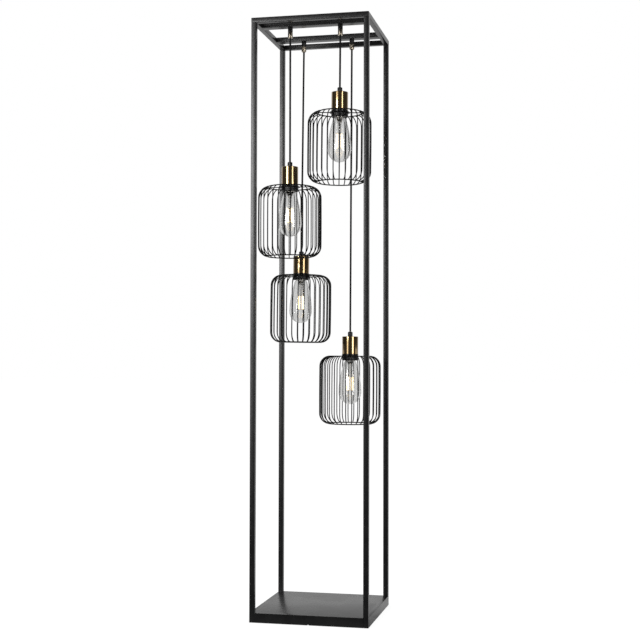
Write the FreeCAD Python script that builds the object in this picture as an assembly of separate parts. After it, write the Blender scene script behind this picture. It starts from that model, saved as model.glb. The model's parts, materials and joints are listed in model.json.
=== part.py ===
"""Wire cage floor lamp: an open square-tube frame with four pendants on cords of different lengths.

Millimetres, +Z up. The origin is the centre of the base on the floor, +X to the right and +Y to the back.
"""

import FreeCAD
import Part
import math
import os

V = FreeCAD.Vector

# Frame
HEIGHT = 1510.0
WIDTH = 300.0
DEPTH = 300.0
TUBE = 13.0
TUBE_WALL = 1.2
CROSSBAR_WIDTH = 25.0
CROSSBAR_WALL = 1.2

# Base
TRAY_HEIGHT = 25.0
TRAY_SHEET = 1.5
FLOOR_GAP = 1.0
PAD_THICKNESS = 2.0
PAD_MARGIN = 12.0
PAD_CORNER_CUT = 28.0
COVER_SHEET = 1.2
COVER_FIT = 0.5
BALLAST_SIDE = 216.0
BALLAST_THICKNESS = 12.0
BOSS_SIDE = 9.0
BOSS_INSET = 21.0
SCREW_DIAMETER = 4.0
SCREW_HOLE = 4.6
SCREW_HEAD = 8.0
SCREW_HEAD_HEIGHT = 1.7
SCREW_LENGTH = 11.0
NOTCH_WIDTH = 3.5
NOTCH_HEIGHT = 2.5
SIDE_NOTCH_Y = -38.0

# Lead inlet in the back of the base
GROMMET_BORE = 7.4
GROMMET_BODY = 11.0
GROMMET_FLANGE = 15.0
GROMMET_LIP = 1.5
GROMMET_INSIDE = 4.0
INLET_BLOCK = (38.0, 14.0, 12.0)
INLET_BLOCK_GAP = 1.0

# Inner wiring
FEED_DIAMETER = 3.6
FEED_BEND = 5.0
FEED_SPACING = 4.4
FEED_SIDE_OFFSET = 8.8
WIRING_CLEARANCE = 0.3
TERMINAL_LENGTH = 28.0
TERMINAL_HEIGHT = 9.6

# Cord grips in the crossbars
OUTLET_X = 65.0
OUTLET_BUSH = 13.0
OUTLET_BUSH_HEIGHT = 3.0
STEM_DIAMETER = 9.6
STEM_HOLE = 10.4
GRIP_DIAMETER = 12.5
GRIP_COLLAR = 12.0
GRIP_BORE = 5.8
NUT_STEM_DIAMETER = 8.4
NUT_STEM_LENGTH = 8.0
NUT_BORE = 9.2
NUT_LENGTH = 15.2
NUT_NOSE_DIAMETER = 8.4
NUT_NOSE_LENGTH = 4.5

# Pendant, with heights measured up or down from the top of its shade
CORD_DIAMETER = 5.0
CORD_BEND = 4.0
CORD_CLEARANCE = 0.5
CAP_DIAMETER = 12.5
CAP_HEIGHT = 12.5
CAP_CHAMFER = 2.0
COVER_DIAMETER = 42.0
COVER_HEIGHT = 46.0
COVER_WALL = 0.9
COVER_CHAMFER = 1.6
FLANGE_DIAMETER = 43.0
FLANGE_HEIGHT = 4.5
HOLDER_DIAMETER = 35.0
HOLDER_HEIGHT = 36.0
SKIRT_DIAMETER = 39.0
SKIRT_DEPTH = 11.0
HOLDER_BORE = 28.0
HOLDER_BORE_DEPTH = 26.5
SHADE_RING_DIAMETER = 43.0
SHADE_RING_HEIGHT = 10.5
SHADE_RING_CHAMFER = 1.2
THREAD_CLEARANCE = 0.3

# Wire shade
SHADE_DIAMETER = 161.5
SHADE_HEIGHT = 178.5
SHADE_BEND = 27.25
WIRE = 2.5
WIRE_COUNT = 32
BEND_CHORDS = 3
END_RING_DIAMETER = 113.0
HUB_DIAMETER = 52.0
HUB_THICKNESS = 2.0
SPOKE_WIDTH = 3.5
SPOKE_COUNT = 4

# Bulb
BULB_CAP_DIAMETER = 26.2
BULB_CAP_HEIGHT = 21.5
BULB_CONTACT_DIAMETER = 10.0
BULB_LENGTH_IN_HOLDER = 28.6
GLASS_WALL = 0.8
GLASS_SHOULDER_DIAMETER = 37.0
GLASS_SHOULDER_DROP = 18.0
GLASS_DIAMETER = 59.4
GLASS_WIDEST_DROP = 95.0
GLASS_DROP = 126.5
GLASS_STEPS = 3
STEM_GLASS_DIAMETER = 8.0
ROD_DIAMETER = 2.4
FILAMENT_TOP_DROP = 56.0
FILAMENT_LENGTH = 34.0
FILAMENT_CIRCLE = 18.0
FILAMENT_WIDTH = 1.6
FILAMENT_COUNT = 4
ARM_THICKNESS = 0.8

# Each pendant: outlet side, crossbar, drop of its shade's top from the crossbar, lean from plumb and turn of the
# wires, in millimetres and degrees
CROSSBAR_Y = {"front": -85.0, "rear": 65.0}
PENDANTS = (
    ("upper_right", 1, "front", 222.0, -0.40, 12.0),
    ("upper_left", -1, "front", 407.0, 0.0, 4.0),
    ("lower_left", -1, "rear", 622.0, -0.60, 8.5),
    ("lower_right", 1, "rear", 835.0, -0.25, 3.5),
)

# Running gap between a piece and what it turns or hangs beside
RUNNING_GAP = 0.3

# Facets of the turned pieces and the wiring
ROUND_SIDES = 12
SMALL_SIDES = 8
WIRING_SIDES = 4
WIRING_CHORDS = 2

POST_X = WIDTH / 2 - TUBE / 2
POST_Y = DEPTH / 2 - TUBE / 2
RAIL_BOTTOM = HEIGHT - TUBE
RAIL_MIDDLE = HEIGHT - TUBE / 2
TRAY_UNDERSIDE = TRAY_HEIGHT - TRAY_SHEET
COVER_TOP = PAD_THICKNESS + COVER_SHEET
GRIP_BOTTOM = RAIL_BOTTOM - GRIP_COLLAR
NUT_TOP = GRIP_BOTTOM - RUNNING_GAP
NOSE = NUT_TOP - NUT_LENGTH
WIRE_RADIUS = SHADE_DIAMETER / 2 - WIRE / 2
WIRE_SECTION = WIRE * math.pi / (3 * math.sqrt(3))
BEND_CENTRE = WIRE_RADIUS - SHADE_BEND
RING_OUTER = END_RING_DIAMETER / 2 + WIRE / 2
RING_INNER = END_RING_DIAMETER / 2 - WIRE / 2
RING_ANGLE = math.acos((RING_OUTER - BEND_CENTRE) / SHADE_BEND)
FLANGE_TOP = FLANGE_HEIGHT
COVER_RIM = FLANGE_TOP + COVER_HEIGHT
CAP_TOP = COVER_RIM + CAP_HEIGHT
HOLDER_TOP = FLANGE_TOP + HOLDER_HEIGHT
BULB_TOP = HOLDER_BORE_DEPTH - SKIRT_DEPTH - RUNNING_GAP
BULB_RIM = BULB_TOP - BULB_LENGTH_IN_HOLDER


def box(low, high):
    """A block between two opposite corners."""
    size = V(*high) - V(*low)
    return Part.makeBox(size.x, size.y, size.z, V(*low))


def ring_of_points(radius, height, sides, turn=0.0):
    """Corners of a regular polygon round the Z axis."""
    angles = [math.radians(turn) + 2 * math.pi * k / sides for k in range(sides)]
    return [V(radius * math.cos(a), radius * math.sin(a), height) for a in angles]


def polygon(points):
    return Part.makePolygon(points + [points[0]])


def prism(diameter, base, length, sides):
    """An upright bar with that many sides, its flats that diameter apart."""
    corner = diameter / 2 / math.cos(math.pi / sides)
    bar = Part.Face(polygon(ring_of_points(corner, 0, sides, 180.0 / sides))).extrude(V(0, 0, length))
    bar.translate(base)
    return bar


def turned(profile, sides, turn=0.0):
    """A closed profile of (radius, height) points turned round Z, with flat facets."""
    faces = []
    for (r, z), (next_r, next_z) in zip(profile, profile[1:] + profile[:1]):
        if r == next_r == 0:
            continue
        low = ring_of_points(r, z, sides, turn)
        high = ring_of_points(next_r, next_z, sides, turn)
        if z == next_z:
            edges = [polygon(ring) for ring in (low, high) if ring[0] != ring[1]]
            faces.append(Part.makeFace(edges, "Part::FaceMakerBullseye"))
            continue
        for i, j in zip(range(sides), [*range(1, sides), 0]):
            corners = [low[i], low[j], high[j], high[i]]
            faces.append(Part.Face(polygon([c for n, c in enumerate(corners) if c != corners[n - 1]])))
    skin = Part.Compound(faces)
    skin.sewShape()
    return Part.Solid(skin.Shells[0])


def flex(points, diameter, bend):
    """A flex along straight runs, with a few chords round each bend and a few-sided section."""
    path = [points[0]]
    for before, corner, after in zip(points, points[1:], points[2:]):
        arrive = (corner - before).normalize()
        leave = (after - corner).normalize()
        turn = arrive.getAngle(leave)
        first = corner - arrive * bend * math.tan(turn / 2)
        inward = (leave - arrive * arrive.dot(leave)).normalize()
        for k in range(WIRING_CHORDS + 1):
            angle = turn * k / WIRING_CHORDS
            path.append(first + arrive * bend * math.sin(angle) + inward * bend * (1 - math.cos(angle)))
    path.append(points[-1])
    section = polygon(ring_of_points(diameter / 2, 0, WIRING_SIDES))
    section.Placement = FreeCAD.Placement(path[0], FreeCAD.Rotation(V(0, 0, 1), points[1] - points[0]))
    return Part.makePolygon(path).makePipeShell([section], True, False, 1)


def save(node, shape):
    shape.exportStep("parts/" + node + ".step")


def hollow_bar(low, high, wall, axis):
    """A rectangular tube between two corners, open at both ends of the named axis."""
    inner_low = [a + (0 if k == axis else wall) for k, a in enumerate(low)]
    inner_high = [a - (0 if k == axis else wall) for k, a in enumerate(high)]
    return box(low, high).cut(box(inner_low, inner_high))


def mitre_wedge(side_x, side_y, along_x):
    """What a 45 degree cut takes off a tube's end at one top corner, for a tube along X or along Y."""
    outer = V(side_x * WIDTH / 2, side_y * DEPTH / 2, RAIL_BOTTOM - 1)
    inner = V(outer.x - side_x * TUBE, outer.y - side_y * TUBE, outer.z)
    third = V(outer.x, inner.y, outer.z) if along_x else V(inner.x, outer.y, outer.z)
    return Part.Face(polygon([outer, inner, third])).extrude(V(0, 0, TUBE + 2))


def posts():
    """Four upright tubes from just above the floor to the underside of the top frame."""
    names = {(-1, -1): "post_front_left", (1, -1): "post_front_right"}
    names.update({(-1, 1): "post_rear_left", (1, 1): "post_rear_right"})
    half = TUBE / 2
    for (side_x, side_y), name in names.items():
        x = side_x * POST_X
        y = side_y * POST_Y
        post = hollow_bar((x - half, y - half, FLOOR_GAP), (x + half, y + half, RAIL_BOTTOM), TUBE_WALL, 2)
        if name == "post_rear_left":
            post = post.cut(wiring_door(x, y))
        save(name, post)


def wiring_door(x, y):
    """The hole through which the inner wiring enters the rear left post inside the base."""
    reach = FEED_SPACING / 2 + FEED_DIAMETER / 2 + WIRING_CLEARANCE
    height = feed_height()
    half = FEED_DIAMETER / 2 + WIRING_CLEARANCE
    return box((x, y - reach, height - half), (x + TUBE, y + reach, height + half))


def feed_height():
    return COVER_TOP + INLET_BLOCK[2] / 2


def top_rails():
    """Four mitred tubes, with the left one open to both crossbars and to the rear left post."""
    x = WIDTH / 2
    y = DEPTH / 2
    bore = TUBE / 2 - TUBE_WALL
    bars = {
        "top_rail_front": ((-x, -y), (x, -y + TUBE), 0),
        "top_rail_rear": ((-x, y - TUBE), (x, y), 0),
        "top_rail_left": ((-x, -y), (-x + TUBE, y), 1),
        "top_rail_right": ((x - TUBE, -y), (x, y), 1),
    }
    low_corner = (-POST_X - bore, POST_Y - bore, RAIL_BOTTOM)
    post_bore = box(low_corner, (-POST_X + bore, POST_Y + bore, RAIL_MIDDLE))
    for name, (low, high, axis) in bars.items():
        bar = hollow_bar(low + (RAIL_BOTTOM,), high + (HEIGHT,), TUBE_WALL, axis)
        for side_x in (-1, 1):
            for side_y in (-1, 1):
                bar = bar.cut(mitre_wedge(side_x, side_y, axis == 0))
        if name in ("top_rail_left", "top_rail_rear"):
            bar = bar.cut(post_bore)
        if name == "top_rail_left":
            for bar_y in CROSSBAR_Y.values():
                bar = bar.cut(rail_window(bar_y))
        save(name, bar)


def rail_window(bar_y):
    """The opening between the left rail and a crossbar, for one feed."""
    half = FEED_DIAMETER / 2 + WIRING_CLEARANCE
    low = (-WIDTH / 2 + TUBE / 2, bar_y + FEED_SIDE_OFFSET - half, RAIL_BOTTOM + TUBE_WALL)
    high = (-WIDTH / 2 + TUBE, bar_y + FEED_SIDE_OFFSET + half, HEIGHT - TUBE_WALL)
    return box(low, high)


def crossbars():
    """Two flat tubes between the side rails, each with two outlets in its underside."""
    x = WIDTH / 2 - TUBE
    half = CROSSBAR_WIDTH / 2
    for name, bar_y in CROSSBAR_Y.items():
        bar = hollow_bar((-x, bar_y - half, RAIL_BOTTOM), (x, bar_y + half, HEIGHT), CROSSBAR_WALL, 0)
        for side in (-1, 1):
            middle = V(side * OUTLET_X, bar_y, RAIL_BOTTOM)
            bush = OUTLET_BUSH / 2
            low = (middle.x - bush, middle.y - bush, RAIL_BOTTOM + CROSSBAR_WALL)
            bar = bar.fuse(box(low, (middle.x + bush, middle.y + bush, low[2] + OUTLET_BUSH_HEIGHT)))
            bar = bar.cut(prism(STEM_HOLE, middle, TUBE / 2, SMALL_SIDES))
        save("crossbar_" + name, bar)


def boss_places():
    x = WIDTH / 2 - BOSS_INSET
    y = DEPTH / 2 - BOSS_INSET
    return [V(sx * x, sy * y, 0) for sx in (-1, 1) for sy in (-1, 1)]


def base_tray():
    """A folded sheet tray between the posts, flush with their outer faces, with four threaded bosses."""
    x = WIDTH / 2
    y = DEPTH / 2
    tray = box((-x, -y, FLOOR_GAP), (x, y, TRAY_HEIGHT))
    inside_x = x - TRAY_SHEET
    inside_y = y - TRAY_SHEET
    tray = tray.cut(box((-inside_x, -inside_y, FLOOR_GAP), (inside_x, inside_y, TRAY_UNDERSIDE)))
    for sx in (-1, 1):
        for sy in (-1, 1):
            low = (min(sx * x, sx * (x - TUBE)), min(sy * y, sy * (y - TUBE)), FLOOR_GAP)
            high = (low[0] + TUBE, low[1] + TUBE, TRAY_HEIGHT)
            tray = tray.cut(box(low, high))
    top = FLOOR_GAP + NOTCH_HEIGHT
    tray = tray.cut(box((-NOTCH_WIDTH / 2, -y, FLOOR_GAP), (NOTCH_WIDTH / 2, -y + TRAY_SHEET, top)))
    for side in (-x, x - TRAY_SHEET):
        low = (side, SIDE_NOTCH_Y - NOTCH_WIDTH / 2, FLOOR_GAP)
        tray = tray.cut(box(low, (side + TRAY_SHEET, SIDE_NOTCH_Y + NOTCH_WIDTH / 2, top)))
    tray = tray.cut(through_back(prism(GROMMET_BODY, V(0, 0, -TUBE), TUBE, SMALL_SIDES)))
    for place in boss_places():
        half = BOSS_SIDE / 2
        low = (place.x - half, place.y - half, COVER_TOP)
        boss = box(low, (place.x + half, place.y + half, TRAY_UNDERSIDE))
        thread = prism(SCREW_HOLE, place + V(0, 0, COVER_TOP), SCREW_LENGTH, SMALL_SIDES)
        tray = tray.fuse(boss.cut(thread))
    save("base_tray", tray.removeSplitter())


def through_back(shape):
    """A shape made upright round the origin, laid along the inlet's axis with its top at the back face."""
    shape.rotate(V(0, 0, 0), V(1, 0, 0), -90)
    shape.translate(V(0, DEPTH / 2, (FLOOR_GAP + TRAY_HEIGHT) / 2))
    return shape


def bottom_cover():
    x = WIDTH / 2 - TUBE - COVER_FIT
    y = DEPTH / 2 - TRAY_SHEET - COVER_FIT
    inner_y = DEPTH / 2 - TUBE - COVER_FIT
    outer_x = WIDTH / 2 - TRAY_SHEET - COVER_FIT
    cover = box((-x, -y, PAD_THICKNESS), (x, y, COVER_TOP))
    cover = cover.fuse(box((-outer_x, -inner_y, PAD_THICKNESS), (outer_x, inner_y, COVER_TOP)))
    for place in boss_places():
        cover = cover.cut(prism(SCREW_HOLE, place, TRAY_HEIGHT, SMALL_SIDES))
    save("bottom_cover", cover.removeSplitter())


def ballast_plate():
    half = BALLAST_SIDE / 2
    save("ballast_plate", box((-half, -half, COVER_TOP), (half, half, COVER_TOP + BALLAST_THICKNESS)))


def floor_pad():
    """A soft sheet under the cover, cut back at its corners to clear the screws."""
    x = WIDTH / 2 - PAD_MARGIN
    y = DEPTH / 2 - PAD_MARGIN
    cut = PAD_CORNER_CUT
    corners = [(x - cut, -y), (x, -y + cut), (x, y - cut), (x - cut, y)]
    corners += [(-a, b) for a, b in reversed(corners)]
    face = Part.Face(polygon([V(a, b, 0) for a, b in corners]))
    save("floor_pad", face.extrude(V(0, 0, PAD_THICKNESS)))


def cover_screws():
    """Four pan head screws, whose heads stay above the floor."""
    head = SCREW_HEAD / 2
    shank = SCREW_DIAMETER / 2
    under = PAD_THICKNESS - SCREW_HEAD_HEIGHT
    end = PAD_THICKNESS + SCREW_LENGTH
    profile = [
        (0, under),
        (head, under),
        (head, PAD_THICKNESS),
        (shank, PAD_THICKNESS),
        (shank, end),
        (0, end),
    ]
    screws = []
    for place in boss_places():
        screw = turned(profile, SMALL_SIDES)
        screw.translate(place)
        screws.append(screw)
    save("cover_screws", Part.Compound(screws))


def lead_grommet():
    """A flanged bush through the back skirt, for a mains lead."""
    bore = GROMMET_BORE / 2
    body = GROMMET_BODY / 2
    flange = GROMMET_FLANGE / 2
    end = -TRAY_SHEET - GROMMET_INSIDE
    profile = [
        (bore, end),
        (flange, end),
        (flange, -TRAY_SHEET),
        (body, -TRAY_SHEET),
        (body, 0),
        (flange, 0),
        (flange, GROMMET_LIP),
        (bore, GROMMET_LIP),
    ]
    save("lead_grommet", through_back(turned(profile, SMALL_SIDES, flat_first(SMALL_SIDES))))


def inlet_block_middle():
    inside = DEPTH / 2 - TRAY_SHEET - GROMMET_INSIDE - INLET_BLOCK_GAP
    return V(0, inside - INLET_BLOCK[1] / 2, COVER_TOP + INLET_BLOCK[2] / 2)


def wiring_blocks():
    """The terminal block where a mains lead ends, and one block in each crossbar."""
    half = V(*INLET_BLOCK) * 0.5
    middle = inlet_block_middle()
    save("inlet_terminal", box(middle - half, middle + half))
    blocks = []
    for bar_y in CROSSBAR_Y.values():
        side = CROSSBAR_WIDTH / 2 - CROSSBAR_WALL - RUNNING_GAP
        low = (-TERMINAL_LENGTH / 2, bar_y - side, RAIL_BOTTOM + CROSSBAR_WALL)
        blocks.append(box(low, (TERMINAL_LENGTH / 2, bar_y + side, low[2] + TERMINAL_HEIGHT)))
    save("crossbar_terminals", Part.Compound(blocks))


def feed_route(bar, shift):
    """From the inlet block up the rear left post, along the left rail and into one crossbar."""
    bar_y = CROSSBAR_Y[bar] + FEED_SIDE_OFFSET
    height = feed_height()
    lane = POST_Y + shift
    level = RAIL_MIDDLE + shift
    return [
        V(-INLET_BLOCK[0] / 2, inlet_block_middle().y, height),
        V(-INLET_BLOCK[0] / 2 - 3 * FEED_BEND, inlet_block_middle().y, height),
        V(-INLET_BLOCK[0] / 2 - 7 * FEED_BEND, lane, height),
        V(-POST_X, lane, height),
        V(-POST_X, lane, level),
        V(-POST_X, bar_y, level),
        V(-TERMINAL_LENGTH / 2, bar_y, level),
    ]


def inner_wiring():
    """Two feeds from the base to the crossbars, and the end of each cord from its grip to the block."""
    wires = []
    for bar, shift in (("rear", -FEED_SPACING / 2), ("front", FEED_SPACING / 2)):
        wires.append(flex(feed_route(bar, shift), FEED_DIAMETER, FEED_BEND))
    level = RAIL_BOTTOM + CROSSBAR_WALL + OUTLET_BUSH_HEIGHT + CORD_BEND
    for _, side, bar, _, _, _ in PENDANTS:
        points = [
            V(side * OUTLET_X, CROSSBAR_Y[bar], NOSE + RUNNING_GAP),
            V(side * OUTLET_X, CROSSBAR_Y[bar], level),
            V(side * TERMINAL_LENGTH / 2, CROSSBAR_Y[bar], level),
        ]
        wires.append(flex(points, CORD_DIAMETER, CORD_BEND))
    save("inner_wiring", Part.Compound(wires))


def cord_grips():
    """The fixed half of each grip: a threaded stem in the crossbar, the collar and the stem for its nut."""
    bore = GRIP_BORE / 2
    stem = STEM_DIAMETER / 2
    collar = GRIP_DIAMETER / 2
    lower = NUT_STEM_DIAMETER / 2
    top = RAIL_BOTTOM + CROSSBAR_WALL + OUTLET_BUSH_HEIGHT
    bottom = GRIP_BOTTOM - NUT_STEM_LENGTH
    profile = [
        (bore, bottom),
        (lower, bottom),
        (lower, GRIP_BOTTOM),
        (collar, GRIP_BOTTOM),
        (collar, RAIL_BOTTOM),
        (stem, RAIL_BOTTOM),
        (stem, top),
        (bore, top),
    ]
    grips = []
    for _, side, bar, _, _, _ in PENDANTS:
        grip = turned(profile, SMALL_SIDES)
        grip.translate(V(side * OUTLET_X, CROSSBAR_Y[bar], 0))
        grips.append(grip)
    save("cord_grips", Part.Compound(grips))


def grip_nut():
    """The brass nut with its tapered nose, from the nose at height 0 upwards."""
    nose = NUT_NOSE_DIAMETER / 2
    outer = GRIP_DIAMETER / 2
    bore = GRIP_BORE / 2
    wide = NUT_BORE / 2
    floor = NUT_LENGTH - NUT_STEM_LENGTH
    profile = [
        (bore, 0),
        (nose, 0),
        (outer, NUT_NOSE_LENGTH),
        (outer, NUT_LENGTH),
        (wide, NUT_LENGTH),
        (wide, floor),
        (bore, floor),
    ]
    return turned(profile, SMALL_SIDES)


def cord(nose):
    """The free cord, pulled straight by its pendant, from just under the grip's nose to the cap."""
    radius = CORD_DIAMETER / 2
    bottom = CAP_TOP + RUNNING_GAP
    top = nose - CORD_CLEARANCE
    return turned([(0, bottom), (radius, bottom), (radius, top), (0, top)], ROUND_SIDES)


def cord_cap():
    """The plastic cap on the cover, with the threaded stem that clamps cover and holder together."""
    outer = CAP_DIAMETER / 2
    stem = STEM_DIAMETER / 2
    profile = [
        (0, HOLDER_TOP),
        (stem, HOLDER_TOP),
        (stem, COVER_RIM),
        (outer, COVER_RIM),
        (outer, CAP_TOP - CAP_CHAMFER),
        (outer - CAP_CHAMFER, CAP_TOP),
        (0, CAP_TOP),
    ]
    return turned(profile, SMALL_SIDES)


def brass_cover():
    """A spun cup over the lampholder, open at the bottom."""
    outer = COVER_DIAMETER / 2
    inner = outer - COVER_WALL
    hole = STEM_DIAMETER / 2 + THREAD_CLEARANCE
    profile = [
        (inner, FLANGE_TOP),
        (outer, FLANGE_TOP),
        (outer, COVER_RIM - COVER_CHAMFER),
        (outer - COVER_CHAMFER, COVER_RIM),
        (hole, COVER_RIM),
        (hole, COVER_RIM - COVER_WALL),
        (inner - COVER_CHAMFER, COVER_RIM - COVER_WALL),
    ]
    return turned(profile, ROUND_SIDES, flat_first(ROUND_SIDES))


def lampholder():
    """The holder: threaded skirt, flange on the shade's hub, body in the cover and the bulb's bore."""
    skirt = SKIRT_DIAMETER / 2
    flange = FLANGE_DIAMETER / 2
    body = HOLDER_DIAMETER / 2
    bore = HOLDER_BORE / 2
    bore_end = HOLDER_BORE_DEPTH - SKIRT_DEPTH
    profile = [
        (bore, -SKIRT_DEPTH),
        (skirt, -SKIRT_DEPTH),
        (skirt, 0),
        (flange, 0),
        (flange, FLANGE_TOP),
        (body, FLANGE_TOP),
        (body, HOLDER_TOP),
        (0, HOLDER_TOP),
        (0, bore_end),
        (bore, bore_end),
    ]
    return turned(profile, ROUND_SIDES, flat_first(ROUND_SIDES))


def shade_ring():
    """The threaded ring that holds the shade's hub against the flange."""
    outer = SHADE_RING_DIAMETER / 2
    inner = SKIRT_DIAMETER / 2 + THREAD_CLEARANCE
    bottom = -HUB_THICKNESS - SHADE_RING_HEIGHT
    profile = [
        (inner, bottom),
        (outer - SHADE_RING_CHAMFER, bottom),
        (outer, bottom + SHADE_RING_CHAMFER),
        (outer, -HUB_THICKNESS),
        (inner, -HUB_THICKNESS),
    ]
    return turned(profile, ROUND_SIDES, flat_first(ROUND_SIDES))


def bend_points():
    """The upper bend of a shade wire, from the end ring to the straight."""
    centre = V(BEND_CENTRE, 0, -WIRE / 2 - SHADE_BEND * math.sin(RING_ANGLE))
    angles = [RING_ANGLE * (1 - k / BEND_CHORDS) for k in range(BEND_CHORDS + 1)]
    return [centre + V(math.cos(a), 0, math.sin(a)) * SHADE_BEND for a in angles]


def shade_wire():
    """One upright wire in the XZ plane: a bend, a straight and a bend, butted on both end rings."""
    upper = bend_points()
    upper[0] += (upper[0] - upper[1]).normalize() * WIRE
    lower = [V(p.x, 0, -SHADE_HEIGHT - p.z) for p in reversed(upper)]
    path = Part.makePolygon(upper + lower)
    along = (upper[1] - upper[0]).normalize()
    out = V(-along.z, 0, along.x)
    turns = [2 * math.pi * k / 3 for k in range(3)]
    corners = [upper[0] + (out * math.cos(a) + V(0, 1, 0) * math.sin(a)) * WIRE_SECTION for a in turns]
    wire = path.makePipeShell([polygon(corners)], True, False, 1)
    inside = box((0, -2 * WIRE, -SHADE_HEIGHT - WIRE), (RING_OUTER, 2 * WIRE, WIRE))
    return wire.cut(inside).Solids[0]


def shade_wires():
    """The upright wires, evenly spaced."""
    wires = []
    first = shade_wire()
    for k in range(WIRE_COUNT):
        wire = first.copy()
        wire.rotate(V(0, 0, 0), V(0, 0, 1), 360.0 * k / WIRE_COUNT)
        wires.append(wire)
    return Part.Compound(wires)


def flat_first(sides):
    """The turn that puts the middle of a polygon's side on the X axis."""
    return 180.0 / sides


def shade_rings():
    """The two end rings that carry the wires, and the hub with its spokes inside the top one."""
    inner = RING_INNER / math.cos(math.pi / WIRE_COUNT)
    outer = RING_OUTER / math.cos(math.pi / WIRE_COUNT)
    solids = []
    for top in (0, WIRE - SHADE_HEIGHT):
        profile = [(inner, top - WIRE / 2), (outer, top - WIRE), (outer, top)]
        solids.append(turned(profile, WIRE_COUNT, flat_first(WIRE_COUNT)))
    hub = HUB_DIAMETER / 2
    bore = SKIRT_DIAMETER / 2 + THREAD_CLEARANCE
    profile = [(bore, -HUB_THICKNESS), (hub, -HUB_THICKNESS), (hub, 0), (bore, 0)]
    solids.append(turned(profile, ROUND_SIDES, flat_first(ROUND_SIDES)))
    half = SPOKE_WIDTH / 2
    hub_flat = hub * math.cos(math.pi / ROUND_SIDES)
    for k in range(SPOKE_COUNT):
        spoke = box((hub_flat, -half, -HUB_THICKNESS), (RING_INNER, half, 0))
        spoke.rotate(V(0, 0, 0), V(0, 0, 1), 360.0 * k / SPOKE_COUNT)
        solids.append(spoke)
    return Part.Compound(solids)


def bulb_glass():
    """A clear drop-shaped envelope: sides that swell from the shoulder, and an elliptical end."""
    shoulder = GLASS_SHOULDER_DIAMETER / 2
    wide = GLASS_DIAMETER / 2
    outline = [(BULB_CAP_DIAMETER / 2, BULB_RIM)]
    for k in range(GLASS_STEPS):
        swell = math.sin(math.pi / 2 * k / GLASS_STEPS)
        drop = GLASS_SHOULDER_DROP + (GLASS_WIDEST_DROP - GLASS_SHOULDER_DROP) * k / GLASS_STEPS
        outline.append((shoulder + (wide - shoulder) * swell, -drop))
    for k in range(GLASS_STEPS):
        angle = math.pi / 2 * k / GLASS_STEPS
        drop = GLASS_WIDEST_DROP + (GLASS_DROP - GLASS_WIDEST_DROP) * math.sin(angle)
        outline.append((wide * math.cos(angle), -drop))
    inside = [(r - GLASS_WALL, z) for r, z in outline[:3] + outline[4::2]]
    outside = outline + [(0, -GLASS_DROP)]
    return turned(outside + [(0, GLASS_WALL - GLASS_DROP)] + inside[::-1], ROUND_SIDES)


def bulb_base():
    """The screw cap with its contact, the glass stem and the filaments between two spiders of flat arms."""
    cap = BULB_CAP_DIAMETER / 2
    contact = BULB_CONTACT_DIAMETER / 2
    thread_top = BULB_RIM + BULB_CAP_HEIGHT
    profile = [(0, BULB_RIM), (cap, BULB_RIM), (cap, thread_top), (contact, BULB_TOP), (0, BULB_TOP)]
    solids = [turned(profile, SMALL_SIDES)]
    foot = -FILAMENT_TOP_DROP - FILAMENT_LENGTH
    stem_end = -FILAMENT_TOP_DROP + 2 * ARM_THICKNESS
    solids.append(prism(STEM_GLASS_DIAMETER, V(0, 0, stem_end), BULB_RIM - stem_end, WIRING_SIDES))
    solids.append(prism(ROD_DIAMETER, V(0, 0, foot), FILAMENT_LENGTH, WIRING_SIDES))
    reach = (FILAMENT_CIRCLE + FILAMENT_WIDTH) / 2
    half = FILAMENT_WIDTH / 2
    for bottom in (-FILAMENT_TOP_DROP, foot - 2 * ARM_THICKNESS):
        middle = bottom + ARM_THICKNESS
        solids.append(box((-reach, -half, bottom), (reach, half, middle)))
        solids.append(box((-half, -reach, middle), (half, reach, middle + ARM_THICKNESS)))
    for k in range(FILAMENT_COUNT):
        upper = -FILAMENT_TOP_DROP + ARM_THICKNESS * (k % 2)
        lower = foot - ARM_THICKNESS * ((k + 1) % 2)
        strip = box((reach - FILAMENT_WIDTH, -half, lower), (reach, half, upper))
        strip.rotate(V(0, 0, 0), V(0, 0, 1), 360.0 * k / FILAMENT_COUNT)
        solids.append(strip)
    return Part.Compound(solids)


def pendants():
    """Four pendants with their nuts, each hung from its own outlet."""
    for name, side, bar, drop, lean, turn in PENDANTS:
        outlet = V(side * OUTLET_X, CROSSBAR_Y[bar], NOSE)
        top = RAIL_BOTTOM - drop
        nut = grip_nut()
        nut.translate(outlet)
        save("grip_nut_" + name, nut)
        pieces = {
            "cord": cord(NOSE - top),
            "cord_cap": cord_cap(),
            "brass_cover": brass_cover(),
            "lampholder": lampholder(),
            "shade_ring": shade_ring(),
            "shade_wires": shade_wires(),
            "shade_end_rings": shade_rings(),
            "bulb_glass": bulb_glass(),
            "bulb_base": bulb_base(),
        }
        for piece, shape in pieces.items():
            shape.rotate(V(0, 0, 0), V(0, 0, 1), turn)
            shape.translate(V(outlet.x, outlet.y, top))
            shape.rotate(outlet, V(0, -1, 0), lean)
            save(piece + "_" + name, shape)


def main():
    os.makedirs("parts", exist_ok=True)
    posts()
    top_rails()
    crossbars()
    base_tray()
    bottom_cover()
    ballast_plate()
    floor_pad()
    cover_screws()
    lead_grommet()
    wiring_blocks()
    inner_wiring()
    cord_grips()
    pendants()


main()
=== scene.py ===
"""The looks of the wire cage floor lamp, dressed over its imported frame.

Metres, +Z up, with the front towards -Y. Each pendant's pieces are made round the Z axis, with their heights
measured from the top of the shade, and then hung from the pendant's own outlet.
"""

import bmesh
import bpy
import json
import math
from mathutils import Matrix, Vector

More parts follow.
